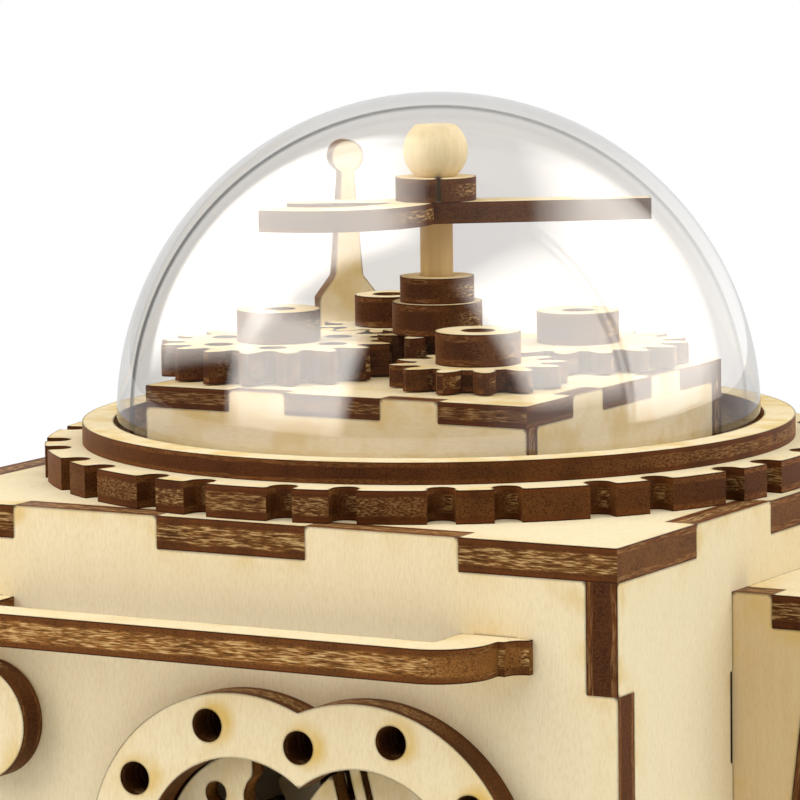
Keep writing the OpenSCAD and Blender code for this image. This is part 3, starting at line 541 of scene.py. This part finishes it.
# %% [markdown]
# ## Turned handle
# The crank's handle is turned on a lathe: a ring is pulled along the axis step by step and drawn in or
# let out at each step. It starts deep in the bore, comes out over the collar, runs along a grip with
# three burnt grooves and closes in a round end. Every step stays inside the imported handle.

# %% Draw the handle's profile
GRIP_LOW, GRIP_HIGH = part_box("crank_handle")
GRIP_AXIS = (GRIP_LOW + GRIP_HIGH) / 2
GROOVES = (3.6, 5.8, 8.0)
BORE_R, BORE_DEEP = 1.55, 12.5
END_R, END_AT = 4.45, 11.5

# each step: millimetres from the crank's arm, and the radius there
profile = [(BORE_DEEP, BORE_R), (0.0, BORE_R)]
profile += [(0.0, 3.1), (0.25, 3.3), (1.25, 3.3), (1.5, 3.1), (1.7, 3.1), (1.9, 3.75)]
for groove in GROOVES:
    profile += [(groove - 0.3, 3.8), (groove - 0.12, 3.5), (groove + 0.12, 3.5), (groove + 0.3, 3.8)]
profile += [(9.6, 3.85)]
for degrees in range(-20, 86, 7):
    angle = math.radians(degrees)
    profile.append((END_AT + END_R * math.sin(angle), END_R * math.cos(angle)))
print("handle steps:", len(profile))

# %% Model the handle
bpy.ops.object.select_all(action="DESELECT")
start_y, start_r = profile[0]
bpy.ops.mesh.primitive_circle_add(
    vertices=72, radius=start_r * MM, fill_type="NGON", rotation=(math.radians(90), 0, 0),
    location=(GRIP_AXIS.x, GRIP_LOW.y + start_y * MM, GRIP_AXIS.z))
grip = bpy.context.object
grip.name = "turned_grip"
bpy.ops.object.transform_apply(location=True, rotation=True, scale=True)
bpy.ops.object.mode_set(mode="EDIT")
bpy.ops.mesh.select_mode(type="EDGE")
bpy.ops.mesh.select_all(action="SELECT")
bpy.ops.mesh.region_to_loop()
for (was_y, was_r), (now_y, now_r) in zip(profile, profile[1:]):
    bpy.ops.mesh.extrude_edges_move(TRANSFORM_OT_translate={"value": (0, (now_y - was_y) * MM, 0)})
    hub = (GRIP_AXIS.x, GRIP_LOW.y + now_y * MM, GRIP_AXIS.z)
    bpy.ops.transform.resize(value=(now_r / was_r, 1, now_r / was_r), center_override=hub)
bpy.ops.mesh.edge_face_add()
bpy.ops.mesh.select_all(action="SELECT")
bpy.ops.mesh.normals_make_consistent(inside=False)
bpy.ops.object.mode_set(mode="OBJECT")
bpy.ops.object.shade_smooth_by_angle(angle=math.radians(35))
grip.data.materials.append(hardwood("turned_handle", AXES["y"], [GRIP_LOW.y + g * MM for g in GROOVES]))
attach(grip, "handle")
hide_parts("crank_handle")
print("handle faces:", len(grip.data.polygons))

# %% [markdown]
# ## Clear dome
# The real dome is a thin moulded shell: half a ball on a short straight skirt. It starts as a ball, the
# lower half is cut away, the rim is pulled down to the roof and a wall is added inwards.

# %% Model the dome
DOME_LOW, DOME_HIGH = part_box("dome")
DOME_R = (DOME_HIGH.x - DOME_LOW.x) / 2
DOME_WALL = 1.2 * MM
RIM_Z = DOME_HIGH.z - DOME_R

bpy.ops.object.select_all(action="DESELECT")
bpy.ops.mesh.primitive_uv_sphere_add(segments=128, ring_count=64, radius=DOME_R, location=(0, 0, RIM_Z))
dome = bpy.context.object
dome.name = "clear_dome"
bpy.ops.object.transform_apply(location=True, rotation=True, scale=True)
bpy.ops.object.mode_set(mode="EDIT")
bpy.ops.mesh.select_all(action="SELECT")
bpy.ops.mesh.bisect(plane_co=(0, 0, RIM_Z), plane_no=(0, 0, 1), clear_inner=True)
bpy.ops.mesh.select_all(action="DESELECT")
bpy.ops.mesh.select_mode(type="EDGE")
bpy.ops.mesh.select_non_manifold()
bpy.ops.mesh.extrude_region_move(TRANSFORM_OT_translate={"value": (0, 0, DOME_LOW.z - RIM_Z)})
bpy.ops.object.mode_set(mode="OBJECT")
wall = dome.modifiers.new("wall", "SOLIDIFY")
wall.thickness = DOME_WALL
wall.offset = -1.0
bpy.ops.object.modifier_apply(modifier="wall")
bpy.ops.object.shade_smooth_by_angle(angle=math.radians(40))
print("dome faces:", len(dome.data.polygons))

# %% [markdown]
# Thin plastic hardly bends light, so the finish lets light straight through and mirrors more of it at a
# slant. Where the wall is seen edge on, a real shell mirrors the dark end of the room as a thin dark line.
# Here that line is a painted reflection: it is drawn into the colour of the inner wall, in a narrow band of
# slants, and it is stronger on the side that faces the dark end of the room. Only the outer wall mirrors
# more at a slant, because the inner one would throw the same light round and round.

# %% Clear plastic and its painted dark reflection
CLEAR, CLEAR_SLANTED, PAINTED_REFLECTION_TINT = paint(254, 253, 252), paint(250, 249, 247), paint(64, 62, 56)
DARK_SIDE = Vector((-0.87, -0.49, 0))
LINE_STARTS, LINE_PEAK, LINE_ENDS = 0.82, 0.89, 0.96
LINE_WEAK, LINE_STRONG = 0.12, 0.75
MIRROR_STRAIGHT = 0.05

clear = bpy.data.materials.new("clear_plastic")
clear.use_nodes = True
tree = clear.node_tree
tree.nodes.remove(tree.nodes["Principled BSDF"])
slant = add_node(tree, "ShaderNodeLayerWeight", {"Blend": 0.5}).outputs["Facing"]
place = add_node(tree, "ShaderNodeTexCoord").outputs["Object"]
steps = add_node(tree, "ShaderNodeSeparateXYZ", {0: place}).outputs
above_rim = sums(tree, "MAXIMUM", sums(tree, "SUBTRACT", steps["Z"], RIM_Z), 0.0)
radial = {"X": steps["X"], "Y": steps["Y"], "Z": above_rim}
from_middle = add_node(tree, "ShaderNodeCombineXYZ", radial).outputs[0]
reach = add_node(tree, "ShaderNodeVectorMath", {0: from_middle}, operation="LENGTH").outputs["Value"]
inner_wall = spread(tree, reach, DOME_R - 0.4 * DOME_WALL, DOME_R - 0.6 * DOME_WALL)
line = sums(tree, "MULTIPLY", spread(tree, slant, LINE_STARTS, LINE_PEAK),
            spread(tree, slant, LINE_ENDS, LINE_PEAK))
line = sums(tree, "MULTIPLY", line, inner_wall)
by_side = spread(tree, dot(tree, place, DARK_SIDE), -DOME_R, DOME_R, LINE_WEAK, LINE_STRONG)
line = sums(tree, "MULTIPLY", line, by_side)
tint = mix_colours(tree, spread(tree, slant, 0.5, 1.0), CLEAR, CLEAR_SLANTED)
# painted reflection: the dark end of the room is drawn into the inner wall's colour as a thin dark line
tint = mix_colours(tree, line, tint, PAINTED_REFLECTION_TINT)
print("dark line at slants", LINE_STARTS, "to", LINE_ENDS)

# %% Join what the plastic lets through and what it mirrors
haze = noise(tree, place, (60.0, 60.0, 60.0), 4.0)
polish = spread(tree, haze, 0.3, 0.7, 0.015, 0.04)
see = add_node(tree, "ShaderNodeBsdfTransparent", {"Color": tint}).outputs[0]
gloss = add_node(tree, "ShaderNodeBsdfGlossy", {"Roughness": polish}).outputs[0]
at_slant = sums(tree, "MULTIPLY", 1.0 - MIRROR_STRAIGHT, sums(tree, "POWER", slant, 5.0))
outer_share = sums(tree, "ADD", MIRROR_STRAIGHT, at_slant)
mirror_share = spread(tree, inner_wall, 0.0, 1.0, outer_share, MIRROR_STRAIGHT)
both = add_node(tree, "ShaderNodeMixShader", {0: mirror_share, 1: see, 2: gloss}).outputs[0]
tree.links.new(both, tree.nodes["Material Output"].inputs["Surface"])
dome.data.materials.append(clear)
dome.visible_shadow = False
dome.visible_diffuse = False
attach(dome, "case")
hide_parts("dome")
print("dome rides on the case")

# %% [markdown]
# ## Floor
# The studio is a white sweep. The floor is pale and keeps the part's shadow, and away from the part it
# fades to plain white for the camera. Seen through the dome, the white is a little greyer, as two walls
# of plastic make it.

# %% Floor
BEHIND_DOME = 0.86
FLOOR_SIZE = 6.0
FADE_STARTS, FADE_ENDS = 0.1, 0.4


def seen_white(tree):
    """Shares for rays that see the background, and how white it is for them."""
    path = add_node(tree, "ShaderNodeLightPath").outputs
    seen = sums(tree, "MAXIMUM", path["Is Camera Ray"], path["Is Transmission Ray"])
    return seen, path["Is Glossy Ray"], spread(tree, path["Transparent Depth"], 0.0, 1.0, 1.0, BEHIND_DOME)


bpy.ops.object.select_all(action="DESELECT")
bpy.ops.mesh.primitive_grid_add(x_subdivisions=8, y_subdivisions=8, size=FLOOR_SIZE, location=(0, 0, 0))
floor = bpy.context.object
floor.name = "studio_floor"
sweep, tree, shader = new_finish("white_sweep")
shader.inputs["Base Color"].default_value = (0.82, 0.82, 0.81, 1)
shader.inputs["Roughness"].default_value = 0.9
place = add_node(tree, "ShaderNodeTexCoord").outputs["Object"]
reach = add_node(tree, "ShaderNodeVectorMath", {0: place}, operation="LENGTH").outputs["Value"]
seen, mirrored, whiteness = seen_white(tree)
seen = sums(tree, "MAXIMUM", seen, mirrored)
fade = sums(tree, "MULTIPLY", seen, spread(tree, reach, FADE_STARTS, FADE_ENDS))
white = add_node(tree, "ShaderNodeEmission", {"Color": (1, 1, 1, 1), "Strength": whiteness}).outputs[0]
both = add_node(tree, "ShaderNodeMixShader", {0: fade, 1: shader.outputs[0], 2: white}).outputs[0]
tree.links.new(both, tree.nodes["Material Output"].inputs["Surface"])
floor.data.materials.append(sweep)
print("floor set, metres:", FLOOR_SIZE)

# %% [markdown]
# ## The room that the dome mirrors
# The dome shows the studio as soft bright patches. Only glossy rays see this room: it is dark behind the
# camera, light on the far right and holds four glowing panels. A panel is given by the way to its middle
# and by its edges, which fade softly. A lean makes its outline a slanted one, as a softbox has when it is
# seen from below.

# %% Panels
PANEL_GLOW = 7.2
# turn and rise of the middle, lean, then fade ends and full ends sideways and upright
PANELS = (
    (-84, 50, (0.15, -0.45), (-0.58, -0.48, 0.50, 0.68), (-0.95, -0.72, 0.42, 0.78)),
    (-29, 18, (0.0, 0.0), (-0.46, -0.38, 0.38, 0.50), (-0.42, -0.20, 0.24, 0.42)),
    (78, 32, (0.16, 0.0), (-0.42, -0.28, 0.36, 0.40), (-0.50, -0.30, 0.30, 0.60)),
    (132, 30, (-0.36, 0.0), (-0.47, -0.43, 0.40, 0.60), (-0.70, -0.45, 0.35, 0.70)),
)


def towards(turn, rise):
    """A direction by its angle from straight in front, to the right, and its height."""
    turn, rise = math.radians(turn), math.radians(rise)
    return Vector((math.sin(turn) * math.cos(rise), -math.cos(turn) * math.cos(rise), math.sin(rise)))


def panel(tree, heading, turn, rise, lean, sideways, upright):
    middle = towards(turn, rise)
    axes = middle.to_track_quat("Z", "Y")
    over, along = axes @ AXES["x"], axes @ AXES["y"]
    ahead = sums(tree, "MAXIMUM", dot(tree, heading, middle), 0.02)
    share = PANEL_GLOW
    leaning = (over + lean[0] * along, along + lean[1] * over)
    for axis, (out_low, in_low, in_high, out_high) in zip(leaning, (sideways, upright)):
        reach = sums(tree, "DIVIDE", dot(tree, heading, axis), ahead)
        share = sums(tree, "MULTIPLY", share, spread(tree, reach, out_low, in_low))
        share = sums(tree, "MULTIPLY", share, spread(tree, reach, out_high, in_high))
    return share


print("panels:", len(PANELS))

# %% World
WOOD_FILL = 0.37
PANEL_WARMTH = (1.0, 0.97, 0.91, 1.0)
BRIGHT_SIDE = Vector((0.5, 0.85, 0)).normalized()
ROOM_DARK, ROOM_LIGHT, FLANK_LIGHT, OVERHEAD = 0.05, 1.05, 1.1, 0.35

world = bpy.context.scene.world or bpy.data.worlds.new("studio")
bpy.context.scene.world = world
world.use_nodes = True
tree = world.node_tree
heading = add_node(tree, "ShaderNodeTexCoord").outputs["Object"]
to_bright_side = dot(tree, heading, BRIGHT_SIDE)
room = spread(tree, to_bright_side, -0.3, 0.3, ROOM_DARK, ROOM_LIGHT)
room = sums(tree, "ADD", room, spread(tree, to_bright_side, 0.65, 0.92, 0.0, FLANK_LIGHT))
height = dot(tree, heading, AXES["z"])
room = sums(tree, "MULTIPLY", room, spread(tree, height, 0.1, 0.8, 1.0, OVERHEAD))
glow = 0.0
for place in PANELS:
    glow = sums(tree, "ADD", glow, panel(tree, heading, *place))
room = sums(tree, "ADD", room, glow)
seen, mirrored, whiteness = seen_white(tree)
level = spread(tree, mirrored, 0.0, 1.0, WOOD_FILL, room)
level = spread(tree, seen, 0.0, 1.0, level, whiteness)
warm = sums(tree, "MULTIPLY", mirrored, spread(tree, glow, 0.0, 2.0))
back = tree.nodes["Background"]
tree.links.new(mix_colours(tree, warm, (1, 1, 1, 1), PANEL_WARMTH), back.inputs["Color"])
tree.links.new(level, back.inputs["Strength"])
print("world lights the wood at", WOOD_FILL)

# %% [markdown]
# ## Lamps
# Three area lamps light the wood: a large one above, a large one to the right and a small near one to the
# left. They are placed by where they sit round the part. Glossy rays don't see them, because the panels
# of the room above are what the dome mirrors, so each can be set on its own.

# %% Lamps
AIM = Vector((0, 0, 0.07))
DAYLIGHT, NEUTRAL = (0.93, 0.97, 1.0), (1.0, 1.0, 1.0)


def softbox(name, turn, rise, far, size, watts, colour):
    away = towards(turn, rise)
    bpy.ops.object.select_all(action="DESELECT")
    bpy.ops.object.light_add(type="AREA", location=AIM + far * away)
    lamp = bpy.context.object
    lamp.name = name
    lamp.data.shape = "RECTANGLE"
    lamp.data.size = size
    lamp.data.size_y = size
    lamp.data.energy = watts
    lamp.data.color = colour
    lamp.rotation_mode = "QUATERNION"
    lamp.rotation_quaternion = (-away).to_track_quat("-Z", "Y")
    lamp.visible_glossy = False


softbox("top_light", 40, 72, 1.0, 0.8, 3.9, DAYLIGHT)
softbox("right_light", 112, 35, 1.0, 0.8, 4.8, DAYLIGHT)
softbox("left_light", -40, 30, 0.42, 0.36, 1.06, NEUTRAL)

# %% View transform
scene = bpy.context.scene
scene.view_settings.view_transform = "Standard"
